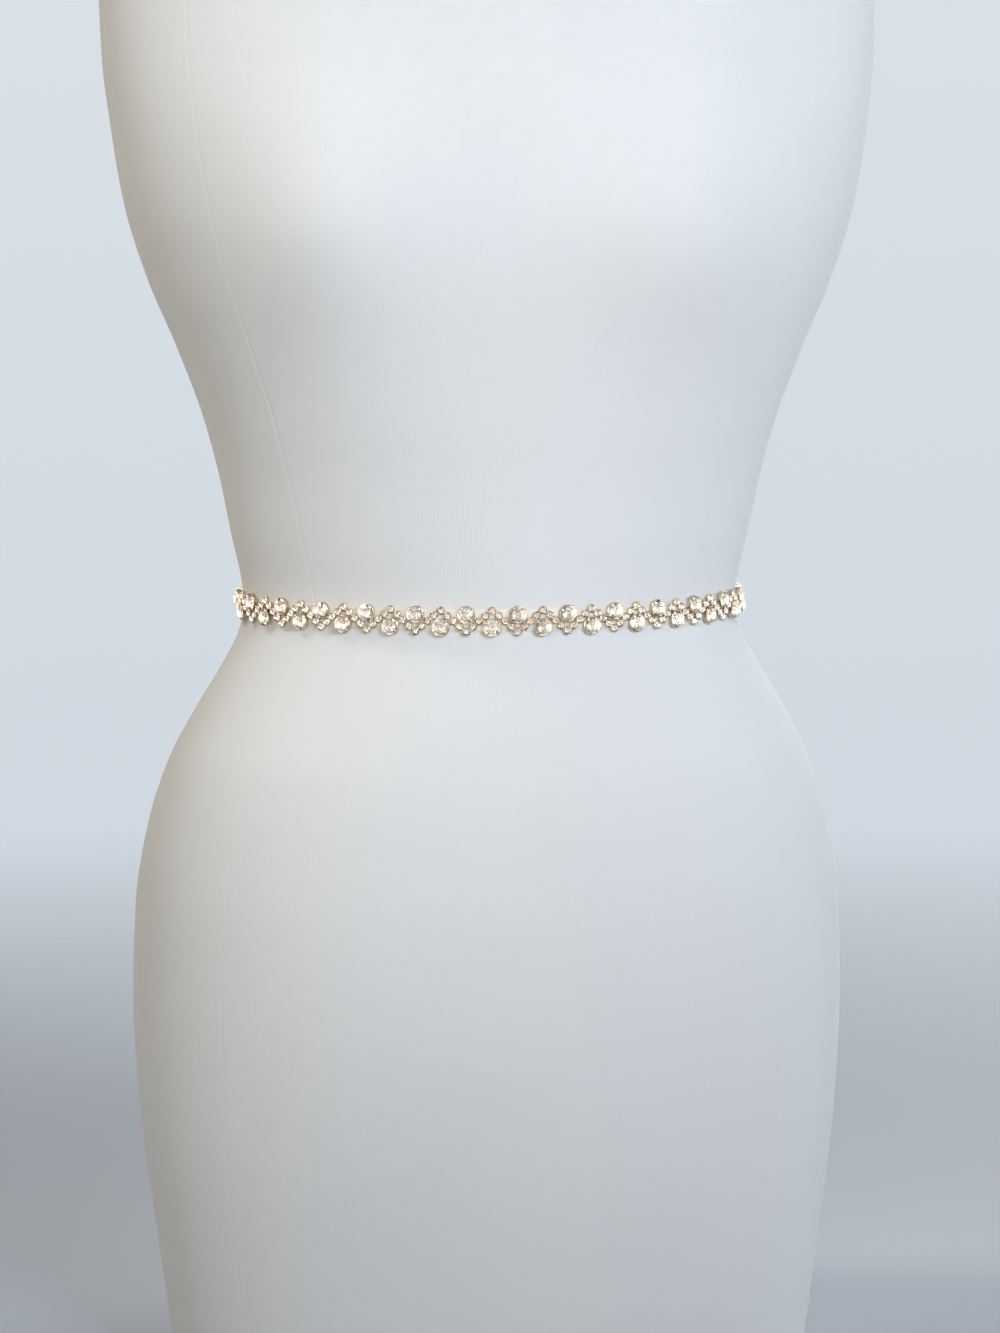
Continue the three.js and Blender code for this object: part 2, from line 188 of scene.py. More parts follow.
# Studio. Places are in metres, from the foot of the form in plan and from its waist in height, with the
# camera straight in front.
# Backdrop colours, low and high: the low one is painted shade, so the backdrop darkens towards the
# bottom as if the light fell off there.
BACKDROP_SHADED_LOW = (203, 213, 222)
BACKDROP_HIGH = (219, 226, 232)
BACKDROP_CLIMB = (-0.25, 0.05)
FLOOR_RADIUS = 4.5
FLOOR_RINGS, FLOOR_SIDES = 12, 48
FLOOR_FADE = (0.4, 1.65)
FLOOR_COLOURS = (168, 175, 185), (172, 179, 189)
AMBIENT = 0.125
AMBIENT_COLOUR = (1, 1, 1, 1)
GLEAM = 2.7
GLEAM_SCALE = 3.5
GLEAM_EDGE = (0.4, 0.6)  # where the noise turns from dark to bright
GLEAM_BRIGHT = (1, 0.95, 0.885, 1)
GLEAM_DARK = (0.12, 0.1, 0.085, 1)
LIGHTS = [
    {"name": "key", "where": (1.12, -2.09, 0.9), "target": (0.02, 0, 0.13), "size": (0.9, 0.7),
     "power": 2.1, "colour": (0.64, 0.78, 1), "spread": 34},
    {"name": "front", "where": (-0.3, -2.5, 0.5), "target": (0, 0, 0.12), "size": (1.0, 0.8),
     "power": 1.36, "colour": (1, 0.92, 0.77), "spread": 32},
    {"name": "left", "where": (-1.05, -0.1, 1.35), "target": (0, 0, -0.06), "size": (0.5, 0.5),
     "power": 0.31, "colour": (1, 0.9, 0.78), "spread": 24},
    {"name": "right", "where": (1.5, 0.7, 0.3), "target": (0, 0, 0), "size": (0.8, 1.4),
     "power": 9, "colour": (0.9, 1, 1), "spread": 180},
    {"name": "back", "where": (0.5, 2.3, 0.8), "target": (0, 0, 0.1), "size": (1.2, 0.9),
     "power": 8.5, "colour": (1, 0.99, 0.97), "spread": 80},
    {"name": "top", "where": (0, 0, 1.7), "target": (0, 0, 0), "size": (1.4, 1.0),
     "power": 2, "colour": (1, 1, 1), "spread": 110},
]


def smoothstep(t):
    t = np.clip(t, 0, 1)
    return t * t * (3 - 2 * t)


def section_slopes():
    """Monotone cubic slopes at each row of the section table."""
    z = FORM_SECTIONS[:, 0]
    run = np.diff(z)[:, None]
    rise = np.diff(FORM_SECTIONS, axis=0) / run
    slopes = np.zeros_like(FORM_SECTIONS)
    slopes[0], slopes[-1] = rise[0], rise[-1]
    before, after = rise[:-1], rise[1:]
    a = 2 * run[1:] + run[:-1]
    b = run[1:] + 2 * run[:-1]
    same = before * after > 0
    safe_before = np.where(same, before, 1)
    safe_after = np.where(same, after, 1)
    slopes[1:-1] = np.where(same, (a + b) / (a / safe_before + b / safe_after), 0)
    return slopes


SLOPES = section_slopes()


def column(key, z):
    """A section column at heights z above the waist."""
    rows = FORM_SECTIONS
    z = np.clip(z, rows[0, 0], rows[-1, 0])
    i = np.clip(np.searchsorted(rows[:, 0], z) - 1, 0, len(rows) - 2)
    h = rows[i + 1, 0] - rows[i, 0]
    t = (z - rows[i, 0]) / h
    return (
        rows[i, key] * (1 + 2 * t) * (1 - t) ** 2
        + SLOPES[i, key] * h * t * (1 - t) ** 2
        + rows[i + 1, key] * t * t * (3 - 2 * t)
        + SLOPES[i + 1, key] * h * t * t * (t - 1)
    )


def bust_reach(x, z):
    spread = np.where(z > BUST["z"], BUST["spread_up"], BUST["spread_down"])
    level = np.exp(-(((z - BUST["z"]) / spread) ** 2))
    lobes = np.exp(-(((np.abs(x) - BUST["x"]) / BUST["spread_x"]) ** 2))
    bridge = np.exp(-((x / BUST_BRIDGE["spread_x"]) ** 2))
    return level * (BUST["reach"] * lobes + BUST_BRIDGE["reach"] * bridge)


def form_point(turn, z):
    """The form's surface. turn is 0 at the front and grows towards +X. z is from the waist."""
    turn, z = np.broadcast_arrays(np.asarray(turn, float), np.asarray(z, float))
    front, back = column(FRONT, z), column(BACK, z)
    power = 2 / column(POWER, z)
    across = np.sign(np.sin(turn)) * np.abs(np.sin(turn)) ** power
    forward = np.sign(np.cos(turn)) * np.abs(np.cos(turn)) ** power
    x = column(HALF, z) * across
    y = (back - front) / 2 - ((back + front) / 2) * forward
    y = y - bust_reach(x, z) * smoothstep(np.cos(turn) * BUST_FADE)
    return np.stack([x, y, WAIST_Z + z], axis=-1)


def form_normal(turn, z):
    """The outward direction, level with the ground."""
    along = form_point(np.asarray(turn) + 0.01, z) - form_point(np.asarray(turn) - 0.01, z)
    out = np.stack([along[..., 1], -along[..., 0], np.zeros(along.shape[:-1])], axis=-1)
    return out / np.linalg.norm(out, axis=-1, keepdims=True)


def back_y(x, z):
    across = np.clip(np.abs(x) / column(HALF, z), 0, 1) ** (column(POWER, z) / 2)
    return form_point(math.pi - np.arcsin(across), z)[..., 1]


def sash_line(turn, out):
    """The sash's middle line at a turn, out from the form, as a straight band over the waist."""
    turn = np.asarray(turn, float)
    feet = np.stack([form_point(turn, share * RIBBON_WIDTH) for share in (-0.5, 0, 0.5)])
    far = np.argmax(np.hypot(feet[..., 0], feet[..., 1]), axis=0)
    foot = np.take_along_axis(feet, far[None, ..., None], axis=0)[0]
    foot[..., 2] = WAIST_Z
    return foot + form_normal(turn, 0.0) * np.asarray(out)[..., None]


ARC_TURNS = np.linspace(0, math.pi, 1441)
ARC_POINTS = sash_line(ARC_TURNS, TRIM_BACK)
ARC_LENGTHS = np.concatenate([[0], np.cumsum(np.linalg.norm(np.diff(ARC_POINTS, axis=0), axis=1))])
ARC_HALF = ARC_LENGTHS[-1]


def turn_at(s):
    return np.sign(s) * np.interp(np.abs(s), ARC_LENGTHS, ARC_TURNS)


def sash_point(s, up, out):
    point = sash_line(turn_at(s), out)
    point[..., 2] += up
    return point


# Meshes

def make_piece(name, verts, faces, materials, face_materials=None, uv=None, smooth=True):
    """A piece from points in millimetres. uv holds a pair for each face corner, in metres of cloth."""
    mesh = bpy.data.meshes.new(name)
    mesh.from_pydata((np.asarray(verts) * MM).tolist(), [], faces)
    for material in materials:
        mesh.materials.append(material)
    if face_materials is not None:
        mesh.polygons.foreach_set("material_index", face_materials)
    if uv is not None:
        layer = mesh.uv_layers.new(name="cloth")
        layer.data.foreach_set("uv", np.asarray(uv, dtype=np.float32).ravel())
    mesh.polygons.foreach_set("use_smooth", [smooth] * len(mesh.polygons))
    mesh.update()
    piece = bpy.data.objects.new(name, mesh)
    bpy.context.scene.collection.objects.link(piece)
    return piece


def dress(piece, slot, *nodes):
    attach(piece, "root")
    if nodes:
        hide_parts(*nodes)


class Bits:
    """Points and faces gathered from many small parts into one mesh."""

    def __init__(self):
        self.verts, self.faces, self.materials = [], [], []
        self.count = 0

    def add(self, part, place):
        verts, faces, materials = part
        self.verts.append(verts @ place[:3, :3].T + place[:3, 3])
        self.faces.extend([[i + self.count for i in face] for face in faces])
        self.materials.extend(materials)
        self.count += len(verts)

    def part(self):
        return np.concatenate(self.verts), self.faces, self.materials


def ring_faces(rows, count):
    """The quads between rings of points, each ring above the last."""
    faces = []
    for i in range(rows - 1):
        low, high = i * count, (i + 1) * count
        for j in range(count):
            k = (j + 1) % count
            faces.append([low + j, low + k, high + k, high + j])
    return faces


def turned(profile, segments):
    """A closed solid turned about Z. The profile's first and last points are on the axis."""
    inner = profile[1:-1]
    angles = np.arange(segments) * 2 * math.pi / segments
    rings = [[(r * math.cos(a), r * math.sin(a), z) for a in angles] for r, z in inner]
    verts = [p for ring in rings for p in ring]
    first, last = len(verts), len(verts) + 1
    verts += [(0, 0, profile[0][1]), (0, 0, profile[-1][1])]
    faces = ring_faces(len(inner), segments)
    top = (len(inner) - 1) * segments
    for j in range(segments):
        k = (j + 1) % segments
        faces.append([first, k, j])
        faces.append([last, top + j, top + k])
    return np.array(verts, float), faces, [0] * len(faces)


def loft(sections):
    """A closed solid through sections of equally many points, with flat ends."""
    sections = np.asarray(sections, float)
    rows, count = sections.shape[:2]
    faces = ring_faces(rows, count)
    faces.append(list(range(count))[::-1])
    faces.append([(rows - 1) * count + j for j in range(count)])
    return sections.reshape(-1, 3), faces, [0] * len(faces)


def tube(points, radius, sides):
    """A closed round bar along a line of points."""
    points = np.asarray(points, float)
    tangents = np.gradient(points, axis=0)
    tangents /= np.linalg.norm(tangents, axis=1, keepdims=True)
    side = np.cross(tangents, (0, 0.01, 1))
    side /= np.linalg.norm(side, axis=1, keepdims=True)
    other = np.cross(tangents, side)
    angles = np.arange(sides) * 2 * math.pi / sides
    cosine, sine = np.cos(angles)[None, :, None], np.sin(angles)[None, :, None]
    ring = side[:, None] * cosine + other[:, None] * sine
    return loft(points[:, None] + ring * radius)


def placed(along, up, out=0, spin=0.0, tilt=(0.0, 0.0)):
    """A small part's place in its unit."""
    c, s = math.cos(spin), math.sin(spin)
    spun = np.array([[c, -s, 0], [s, c, 0], [0, 0, 1]])
    lean = np.array([[1, 0, tilt[0]], [0, 1, tilt[1]], [-tilt[0], -tilt[1], 1]])
    place = np.eye(4)
    place[:3, :3] = lean @ spun
    place[:3, 3] = (along, up, out)
    return place


# Materials

class Shader:
    def __init__(self, name):
        self.material = bpy.data.materials.new(name)
        self.material.use_nodes = True
        self.tree = self.material.node_tree
        self.surface = self.tree.nodes["Principled BSDF"]

    def node(self, kind, inputs=None, **settings):
        made = self.tree.nodes.new("ShaderNode" + kind)
        for key, value in settings.items():
            setattr(made, key, value)
        for key, value in (inputs or {}).items():
            self.feed(made.inputs[key], value)
        return made

    def feed(self, socket, value):
        if isinstance(value, bpy.types.NodeSocket):
            self.tree.links.new(value, socket)
        else:
            socket.default_value = value

    def math(self, operation, a, b=0.0):
        return self.node("Math", {0: a, 1: b}, operation=operation).outputs[0]

    def set(self, **values):
        names = {key.replace("_", " ").lower(): key for key in values}
        for socket in self.surface.inputs:
            key = names.get(socket.name.lower())
            if key:
                self.feed(socket, values[key])

    def blend(self, factor, a, b):
        mix = self.node("Mix", data_type="RGBA")
        self.feed(mix.inputs[0], factor)
        self.feed(mix.inputs[6], a)
        self.feed(mix.inputs[7], b)
        return mix.outputs[2]

    def noise(self, scale, detail):
        where = self.node("TexCoord").outputs["Object"]
        inputs = {"Vector": where, "Scale": scale, "Detail": detail}
        return self.node("TexNoise", inputs).outputs["Fac"]

    def bump(self, height, distance, strength, normal=None):
        inputs = {"Height": height, "Distance": distance, "Strength": strength}
        if normal is not None:
            inputs["Normal"] = normal
        return self.node("Bump", inputs).outputs["Normal"]

    def cloth_uv(self):
        uv = self.node("UVMap", uv_map="cloth").outputs["UV"]
        split = self.node("SeparateXYZ", {0: uv}).outputs
        return split[0], split[1]

    def ridge(self, value, pitch):
        """0 in the middle of each pitch and 1 at its edges."""
        share = self.math("FRACT", self.math("DIVIDE", value, pitch))
        return self.math("ABSOLUTE", self.math("SUBTRACT", self.math("MULTIPLY", share, 2.0), 1.0))


def rgb(red, green, blue):
    """A colour given as it looks on screen, 0 to 255."""
    def linear(v):
        v /= 255
        return v / 12.92 if v <= 0.04045 else ((v + 0.055) / 1.055) ** 2.4
    return (linear(red), linear(green), linear(blue), 1)


def jersey_material():
    """Fine off-white knit: columns of small V stitches, stretched smooth."""
    shader = Shader("form_jersey")
    u, v = shader.cloth_uv()
    wale = shader.ridge(u, 0.0007)
    leaned = shader.math("ADD", v, shader.math("MULTIPLY", wale, 0.0004))
    course = shader.ridge(leaned, 0.00055)
    height = shader.math("SUBTRACT", 1.0, shader.math("MULTIPLY", wale, wale))
    course_rise = shader.math("SUBTRACT", 1.0, shader.math("POWER", course, 3.0))
    height = shader.math("MULTIPLY", height, course_rise)
    cloud = shader.noise(9, 3)
    colour = shader.blend(cloud, rgb(226, 225, 222), rgb(232, 232, 230))
    fuzz = shader.bump(shader.noise(900, 2), 0.0001, 0.35)
    shader.set(
        base_color=colour,
        roughness=0.88,
        sheen_weight=0.25,
        sheen_roughness=0.45,
        normal=shader.bump(height, 0.00012, 0.5, fuzz),
    )
    return shader.material


def satin_material():
    """Ivory satin: fine lines along the ribbon, a soft sheen and faint crinkles."""
    shader = Shader("ribbon_satin")
    u, v = shader.cloth_uv()
    warp = shader.ridge(u, 0.00016)
    weft = shader.ridge(v, 0.0005)
    height = shader.math("ADD", warp, shader.math("MULTIPLY", weft, 0.4))
    crinkle = shader.bump(shader.noise(160, 3), 0.0004, 0.35)
    colour = shader.blend(shader.noise(60, 2), rgb(225, 222, 214), rgb(219, 216, 208))
    shader.set(
        base_color=colour,
        roughness=0.3,
        sheen_weight=0.3,
        sheen_roughness=0.3,
        anisotropic=0.4,
        normal=shader.bump(height, 0.00003, 0.5, crinkle),
    )
    return shader.material


def gold_material():
    """Pale polished gold plate, with a faint unevenness."""
    shader = Shader("trim_gold")
    patch = shader.noise(700, 3)
    colour = shader.blend(patch, rgb(222, 207, 186), rgb(190, 171, 148))
    fine = shader.noise(2500, 2)
    shader.set(
        base_color=colour,
        metallic=1.0,
        roughness=shader.math("ADD", 0.16, shader.math("MULTIPLY", patch, 0.16)),
        normal=shader.bump(fine, 0.00004, 0.4),
    )
    return shader.material


def crystal_material():
    shader = Shader("crystal")
    cloud = shader.noise(400, 1)
    shader.set(
        base_color=shader.blend(cloud, (1, 1, 1, 1), (0.98, 0.99, 1, 1)),
        transmission_weight=1.0,
        roughness=0.0,
        ior=1.58,
    )
    return shader.material


def foil_material():
    """The mirror on the back of each stone. Its warm tint is a painted reflection of the gold settings
    round the stones.
    """
    shader = Shader("crystal_foil")
    cloud = shader.noise(900, 1)
    shader.set(
        # The foil is real; its warm tint is a painted reflection of the gold cups.
        base_color=shader.blend(cloud, (1, 0.96, 0.89, 1), (0.97, 0.93, 0.88, 1)),
        metallic=1.0,
        roughness=0.2,
    )
    return shader.material


def thread_material():
    shader = Shader("sewing_thread")
    shader.set(
        base_color=shader.blend(shader.noise(3000, 1), rgb(240, 236, 226), rgb(222, 216, 204)),
        roughness=0.6,
        sheen_weight=0.2,
        normal=shader.bump(shader.noise(5000, 1), 0.00005, 0.5),
    )
    return shader.material


JERSEY = jersey_material()
SATIN = satin_material()
GOLD = gold_material()
CRYSTAL = crystal_material()
FOIL = foil_material()
THREAD = thread_material()


# Dress form

def form_turns():
    """Turns for the form's columns: even ones, and close ones at each seam."""
    even = np.linspace(-math.pi, math.pi, FORM_COLUMNS + 1)[:-1]
    seams = np.radians([turn if turn < 180 else -180 for turn in SEAM_TURNS])
    steps = np.array(SEAM_COLUMNS) / SEAM_RADIUS
    near = np.concatenate([seam + side * steps for seam in seams for side in (1, -1)])
    near = np.unique(np.round((near + math.pi) % (2 * math.pi) - math.pi, 6))
    gap = np.abs((even[:, None] - seams[None, :] + math.pi) % (2 * math.pi) - math.pi).min(axis=1)
    clear = even[gap > steps[-1] + SEAM_MARGIN]
    return np.sort(np.concatenate([clear, near])), seams


def seam_relief(points, turns, seams):
    """How far the cover stands in or out beside its seams."""
    reach = np.linalg.norm(np.gradient(points, axis=1), axis=2) / np.abs(np.gradient(turns))[None, :]
    relief = np.zeros(points.shape[:2])
    for seam in seams:
        away = np.abs((turns - seam + math.pi) % (2 * math.pi) - math.pi)[None, :] * reach
        groove = SEAM_GROOVE
        relief -= groove["depth"] * np.exp(-((away / groove["width"]) ** 2))
        relief += groove["puff"] * np.exp(-(((away - groove["puff_at"]) / groove["puff_width"]) ** 2))
    return relief


def form_rows():
    """The heights of the cover's rows, and how far the rounded edges draw each row in."""
    bevel = np.radians(np.linspace(0, 90, EDGE_STEPS))
    edge = [(FORM_EDGE * (1 - math.cos(a)), FORM_EDGE * (1 - math.sin(a))) for a in bevel]
    foot = [(-WAIST_Z + rise, inset) for rise, inset in edge]
    neck = [(NECK_Z - rise, inset) for rise, inset in edge[::-1]]
    low, high = -WAIST_Z + FORM_EDGE + FORM_ROW, NECK_Z - FORM_EDGE - FORM_ROW / 2
    body = [(z, 0) for z in np.arange(low, high, FORM_ROW)]
    return np.array(foot + body + neck).T


def cover_uv(points, z):
    """Places in the jersey for the corners of the cover's faces, in millimetres round and up."""
    levels, count = points.shape[:2]
    wrapped = np.concatenate([points, points[:, :1]], axis=1)
    around = np.linalg.norm(np.diff(wrapped, axis=1), axis=2)
    u = np.concatenate([np.zeros((levels, 1)), np.cumsum(around, axis=1)], axis=1)
    u = u / u[:, -1:] * COVER_ROUND
    uv = []
    for i in range(levels - 1):
        for j in range(count):
            corners = ((i, j), (i, j + 1), (i + 1, j + 1), (i + 1, j))
            uv += [(u[row, col], z[row]) for row, col in corners]
    return uv


def form_cap(edge, first, start, flip):
    """Points and faces that close one end of the cover. edge holds the points of its last row, first is
    that row's first index, and start is the index of the first new point."""
    count = len(edge)
    centre = edge.mean(axis=0)
    verts = [centre + (edge - centre) * share for share in CAP_RINGS] + [centre[None]]
    firsts = [first] + [start + k * count for k in range(len(CAP_RINGS))]
    middle = start + len(CAP_RINGS) * count
    faces = []
    for outer, inner in zip(firsts, firsts[1:]):
        for j in range(count):
            k = (j + 1) % count
            faces.append([outer + j, outer + k, inner + k, inner + j])
    for j in range(count):
        faces.append([firsts[-1] + j, firsts[-1] + (j + 1) % count, middle])
    if flip:
        faces = [face[::-1] for face in faces]
    return np.concatenate(verts), faces


def build_form():
    turns, seams = form_turns()
    z, inset = form_rows()
    points = form_point(turns[None, :], z[:, None])
    normals = form_normal(turns[None, :], z[:, None])
    body_share = smoothstep(1 - inset / FORM_EDGE)[:, None]
    relief = seam_relief(points, turns, seams) * body_share - inset[:, None]
    points = points + normals * relief[..., None]
    levels, count = points.shape[:2]
    verts, faces, uv = points.reshape(-1, 3), ring_faces(levels, count), cover_uv(points, z)
    for level, flip in ((0, True), (levels - 1, False)):
        cap_verts, cap_faces = form_cap(points[level], level * count, len(verts), flip)
        verts = np.concatenate([verts, cap_verts])
        faces += cap_faces
        uv += [tuple(verts[i][:2]) for face in cap_faces for i in face]
    piece = make_piece("form_cover", verts, faces, [JERSEY], uv=np.array(uv) * MM)
    dress(piece, "form_jersey", "dress_form")


# Ribbon

def shell_points(middle, thickness, closed_rows):
    """The two sides of a thin shell about a grid of middle points: each row's lower side, then its
    upper side back again."""
    if closed_rows:
        padded = np.concatenate([middle[-1:], middle, middle[:1]])
        down = np.gradient(padded, axis=0)[1:-1]
    else:
        down = np.gradient(middle, axis=0)
    normal = np.cross(np.gradient(middle, axis=1), down)
    normal /= np.linalg.norm(normal, axis=2, keepdims=True)
    edge = np.abs(np.linspace(-1, 1, middle.shape[1]))
    hem = HEM["rise"] * smoothstep((edge - HEM["start"]) / HEM["width"])
    rounding = HEM_EDGE["fall"] * smoothstep((edge - HEM_EDGE["start"]) / HEM_EDGE["width"])
    half = thickness / 2 * (1 + hem - rounding)
    lower = middle - normal * half[None, :, None]
    upper = middle + normal * half[None, :, None]
    return np.concatenate([lower, upper[:, ::-1]], axis=1)


def shell_ends(rows, cols):
    """The faces that close a shell's first row and its last."""
    width = 2 * cols
    faces = []
    for row, flip in ((0, False), (rows - 1, True)):
        for j in range(cols - 1):
            a, d = row * width + j, row * width + width - 1 - j
            face = [a, a + 1, d - 1, d]
            faces.append(face[::-1] if flip else face)
    return faces


def cloth_strip(name, middle, across, thickness=CLOTH, closed_rows=False):
    """A closed thin shell about a grid of middle points, rows by columns. across holds the distance
    over the cloth for each column, in millimetres."""
    rows, cols = middle.shape[:2]
    width = 2 * cols
    over_cloth = np.concatenate([across, across[::-1]])
    step = np.linalg.norm(np.diff(middle[:, cols // 2], axis=0), axis=1)
    along = np.concatenate([[0], np.cumsum(step)])
    faces, uv = [], []
    for i in range(rows if closed_rows else rows - 1):
        n = (i + 1) % rows
        end = along[i] + step.mean() if n == 0 else along[n]
        for j in range(width):
            k = (j + 1) % width
            faces.append([i * width + j, n * width + j, n * width + k, i * width + k])
            corners = ((j, along[i]), (j, end), (k, end), (k, along[i]))
            uv += [(over_cloth[col], length) for col, length in corners]
    if not closed_rows:
        ends = shell_ends(rows, cols)
        faces += ends
        uv += [(0, 0)] * 4 * len(ends)
    verts = shell_points(middle, thickness, closed_rows).reshape(-1, 3)
    piece = make_piece(name, verts, faces, [SATIN], uv=np.array(uv) * MM)
    if not closed_rows:
        piece.data.set_sharp_from_angle(angle=CLOTH_CREASE)
    return piece


def ribbon_middle(start, end, draw_in):
    """The middle of the satin between two lengths along the sash."""
    s = np.linspace(start, end, int(abs(end - start) / SATIN_STEP) + 1)[:, None]
    edge = np.linspace(-1, 1, SATIN_COLUMNS)[None, :]
    near = smoothstep(1 - (ARC_HALF - np.abs(s) - KNOT["half"]) / KNOT_DRAW) * draw_in
    half = RIBBON_WIDTH / 2 + (KNOT_WIDTH - RIBBON_WIDTH) / 2 * near
    under_trim = smoothstep((RIBBON_SEAM - np.abs(s)) / PAST_TRIM)
    pull = np.cos(2 * math.pi * (s - TRIM_SHIFT) / UNIT_PITCH) * under_trim
    half = half + PULL * pull
    crown = RIBBON_CROWN * (1 - edge ** 2)
    wave = np.sin(2 * math.pi * s / PUCKER["length"] + 2 * edge)
    pucker = PUCKER["height"] * wave * edge ** 2
    fold = np.cos(math.pi * DRAWN_PLEATS["count"] * edge + s * DRAWN_PLEATS["drift"])
    pleats = DRAWN_PLEATS["depth"] * near * fold
    drawn = near * (KNOT_LIFT + pleats)
    out = RIBBON_STAND + crown * (1 - near) + np.abs(pucker) * (1 - near) + drawn
    s, up, out = np.broadcast_arrays(s, half * edge, out)
    return sash_point(s, up, out), edge[0] * RIBBON_WIDTH / 2


def build_ribbons():
    knot_side = ARC_HALF - KNOT_SIDE
    front_end = RIBBON_SEAM + SEAM_MEET
    side_start = RIBBON_SEAM + CLEARANCE - SEAM_MEET
    runs = [
        ("ribbon_front", "sash_ribbon_front", -front_end, front_end, 0),
        ("ribbon_left", "sash_ribbon_left", -knot_side, -side_start, 1),
        ("ribbon_right", "sash_ribbon_right", side_start, knot_side, 1),
    ]
    for name, node, start, end, draw_in in runs:
        middle, across = ribbon_middle(start, end, draw_in)
        piece = cloth_strip(name, middle, across)
        dress(piece, "ribbon_satin", node)


def knot_swell(angle, edge):
    """How far the knot's slanting folds and creases stand out, as a share of its half size."""
    fold = edge * KNOT_FOLDS["count"] + KNOT_FOLDS["slant"] * np.sin(angle + 0.8)
    crease = edge * KNOT_CREASES["count"] - KNOT_CREASES["slant"] * np.cos(angle)
    folds = KNOT_FOLDS["depth"] * np.cos(2 * math.pi * fold)
    creases = KNOT_CREASES["depth"] * np.cos(2 * math.pi * crease)
    return (1 - KNOT_TAPER * np.abs(edge) ** 3) * (1 + folds + creases)


def build_knot():
    """The band of the knot: ribbon wound round the crossing, gathered into slanting folds."""
    angle = np.linspace(0, 2 * math.pi, KNOT_ROWS, endpoint=False)[:, None]
    edge = np.linspace(-1, 1, KNOT_COLUMNS)[None, :]
    swell = knot_swell(angle, edge)
    middle = back_y(0.0, 0.0) + KNOT["stand"] + KNOT["depth"] / 2
    x = edge * KNOT["half"] * (1 + KNOT_SKEW * np.sin(angle + 0.6))
    y = middle + np.cos(angle) * (KNOT["depth"] / 2 - KNOT_INSET["depth"]) * swell
    z = WAIST_Z + np.sin(angle) * (KNOT["height"] / 2 - KNOT_INSET["height"]) * swell
    points = np.stack(np.broadcast_arrays(x, y, z), axis=-1)
    across = edge[0] * RIBBON_WIDTH / 2
    piece = cloth_strip("knot_band", points, across, KNOT_CLOTH, closed_rows=True)
    dress(piece, "ribbon_satin", "sash_knot")


def tail_line(tail, t, half, angle, gather):
    """The middle line of a tail, down the back of the form. t is 0 at the knot and 1 at the cut. It
    stands off more in its top twelfth, and sways from its top third down."""
    z = -KNOT["height"] / 2 - CLEARANCE - tail["drop"] * t
    x = tail["start"] + (tail["end"] - tail["start"]) * smoothstep(t)
    x = x + (math.copysign(TAIL_TOP["start"], x[0]) - x) * gather
    ripple = (1 - np.cos(t * TAIL_WAVES * 2 * math.pi + tail["phase"])) / 2
    swell = tail["wave"] * ripple * smoothstep(t * 3)
    lift = TAIL_LIFT * (1 - smoothstep(t * 12))
    stand = TAIL_STAND + half * np.abs(np.sin(angle)) + lift
    curl = TAIL_CURL * t ** 8
    y = back_y(x, np.maximum(z, HIP_Z)) + stand + swell + curl
    return np.stack([x, y, WAIST_Z + z], axis=-1)


def unit_rows(vectors):
    return vectors / np.linalg.norm(vectors, axis=1, keepdims=True)


def tail_middle(tail):
    """The middle of a tail's satin: it leaves the knot gathered, opens out, twists a little and ends
    in a slanting cut."""
    t = np.linspace(0, 1, TAIL_ROWS)
    edge = np.linspace(-1, 1, TAIL_COLUMNS)
    twist = np.sin(t * TAIL_TWISTS * 2 * math.pi + tail["phase"])
    angle = tail["turn"] * twist * smoothstep(t * 4)
    opening = smoothstep(t * 5)
    gather = 1 - smoothstep(t / TAIL_TOP["share"])
    half = (KNOT_WIDTH + (RIBBON_WIDTH - KNOT_WIDTH) * opening) / 2
    half = half + (TAIL_TOP["width"] / 2 - half) * gather
    line = tail_line(tail, t, half, angle, gather)
    tangent = unit_rows(np.gradient(line, axis=0))
    across = np.stack([np.cos(angle), np.sin(angle), np.zeros(TAIL_ROWS)], axis=-1)
    across = unit_rows(across - tangent * (across * tangent).sum(axis=1, keepdims=True))
    outward = np.cross(tangent, across)
    pleat_depth = TAIL_PLEATS["depth"] * (1 - opening) + TAIL_PLEATS["more_at_top"] * gather
    pleat = np.cos(math.pi * TAIL_PLEATS["count"] * edge[None, :] + TAIL_PLEATS["phase"])
    cup = TAIL_CUP["depth"] * opening[:, None] * (edge[None, :] ** 2 - TAIL_CUP["level"])
    cut = smoothstep((t - TAIL_CUT["start"]) / TAIL_CUT["length"])
    slant = TAIL_CUT["slant"] / 2 * math.copysign(1, tail["start"]) * cut
    grid = (
        line[:, None]
        + across[:, None] * (half[:, None] * edge[None, :])[..., None]
        + outward[:, None] * (pleat_depth[:, None] * pleat - cup)[..., None]
        + tangent[:, None] * (slant[:, None] * edge[None, :])[..., None]
    )
    return grid, edge * RIBBON_WIDTH / 2


def build_tails():
    for tail in TAILS:
        middle, across = tail_middle(tail)
        piece = cloth_strip("tail_" + tail["name"], middle, across)
        dress(piece, "ribbon_satin", "sash_tail_" + tail["name"])


# Trim

def cup_part(size, segments):
    """A round metal cup, open at the top, with a rolled rim."""
    r, wall = size["cup"], size["wall"]
    inner = size["stone"] + STONE_GAP
    profile = [
        (0, 0),
        (r * 0.9, 0),
        (r * 0.985, r * 0.05),
        (r, r * 0.14),
        (r * 0.985, wall * 0.8),
        (r, wall),
        ((r + inner) / 2, wall + 0.09),
        (inner, wall),
        (inner - 0.05, wall * 0.45),
        (0, wall * 0.2),
    ]
    return turned(profile, segments)


